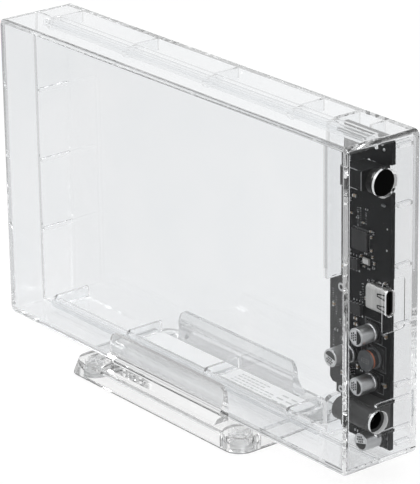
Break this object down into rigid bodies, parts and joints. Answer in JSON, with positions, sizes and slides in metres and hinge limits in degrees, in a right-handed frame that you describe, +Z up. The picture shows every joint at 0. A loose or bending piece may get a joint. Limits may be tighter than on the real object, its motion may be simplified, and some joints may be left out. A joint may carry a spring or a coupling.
{
  "type": "hard disk drive enclosure",
  "caption": "Clear upright desktop enclosure for one 3.5 inch hard disk drive, with slide-off cover, socket board, push button and lift-out cradle.",
  "frame": {"origin": "centre of the base, on the surface that the four foot pads rest on", "axes": "+Z up; +X along the enclosure to the end with the sockets and the button; -Y to the sliding cover's large face"},
  "size_m": [0.19, 0.0502, 0.1194],
  "materials": {
    "clear_shell": "clear polycarbonate, polished",
    "clear_cradle": "clear polycarbonate, polished",
    "silicone_pad": "translucent silicone",
    "solder_mask": "black solder mask over copper",
    "black_plastic": "black moulded plastic",
    "nickel_steel": "drawn and nickel plated",
    "gold_contact": "gold plated",
    "can_aluminium": "satin can",
    "ferrite": "dark grey ferrite",
    "copper_wire": "enamelled copper",
    "chip_epoxy": "moulded epoxy",
    "led_lens": "diffusing lens",
    "white_label": "white printed film, blank"
  },
  "bodies": {
    "cradle": {"cradle": "clear_cradle", "foot_pad_front_left": "silicone_pad", "foot_pad_front_right": "silicone_pad", "foot_pad_rear_left": "silicone_pad", "foot_pad_rear_right": "silicone_pad"},
    "enclosure": {"base_shell": "clear_shell", "label_left": "white_label", "rating_label": "white_label", "main_board": "solder_mask", "usb_c_shell": "nickel_steel", "usb_c_tongue": "black_plastic", "dc_jack_body": "black_plastic", "dc_jack_pin": "nickel_steel", "switch_body": "black_plastic", "sata_receptacle": "black_plastic", "sata_signal_contacts": "gold_contact", "sata_power_contacts": "gold_contact", "capacitor_top_can": "can_aluminium", "capacitor_top_base": "black_plastic", "capacitor_left_can": "can_aluminium", "capacitor_left_base": "black_plastic", "capacitor_middle_can": "can_aluminium", "capacitor_middle_base": "black_plastic", "capacitor_bottom_can": "can_aluminium", "capacitor_bottom_base": "black_plastic", "inductor_base": "chip_epoxy", "inductor_core": "ferrite", "inductor_winding": "copper_wire", "bridge_controller": "chip_epoxy", "crystal": "nickel_steel", "flash_chip": "chip_epoxy", "buck_regulator": "chip_epoxy", "schottky_diode": "chip_epoxy", "load_switch": "chip_epoxy", "status_led": "led_lens"},
    "cover": {"sliding_cover": "clear_shell"},
    "button": {"power_button": "black_plastic"}
  },
  "joints": [
    {"name": "enclosure_lift", "type": "slide", "parent": "cradle", "child": "enclosure", "axis": [0, 0, 1], "range_m": [0, 0.04]},
    {"name": "cover_slide", "type": "slide", "parent": "enclosure", "child": "cover", "axis": [-1, 0, 0], "range_m": [0, 0.2]},
    {"name": "button_press", "type": "slide", "parent": "enclosure", "child": "button", "axis": [-1, 0, 0], "range_m": [0, 0.0015], "stiffness_N_per_m": 1500}
  ]
}
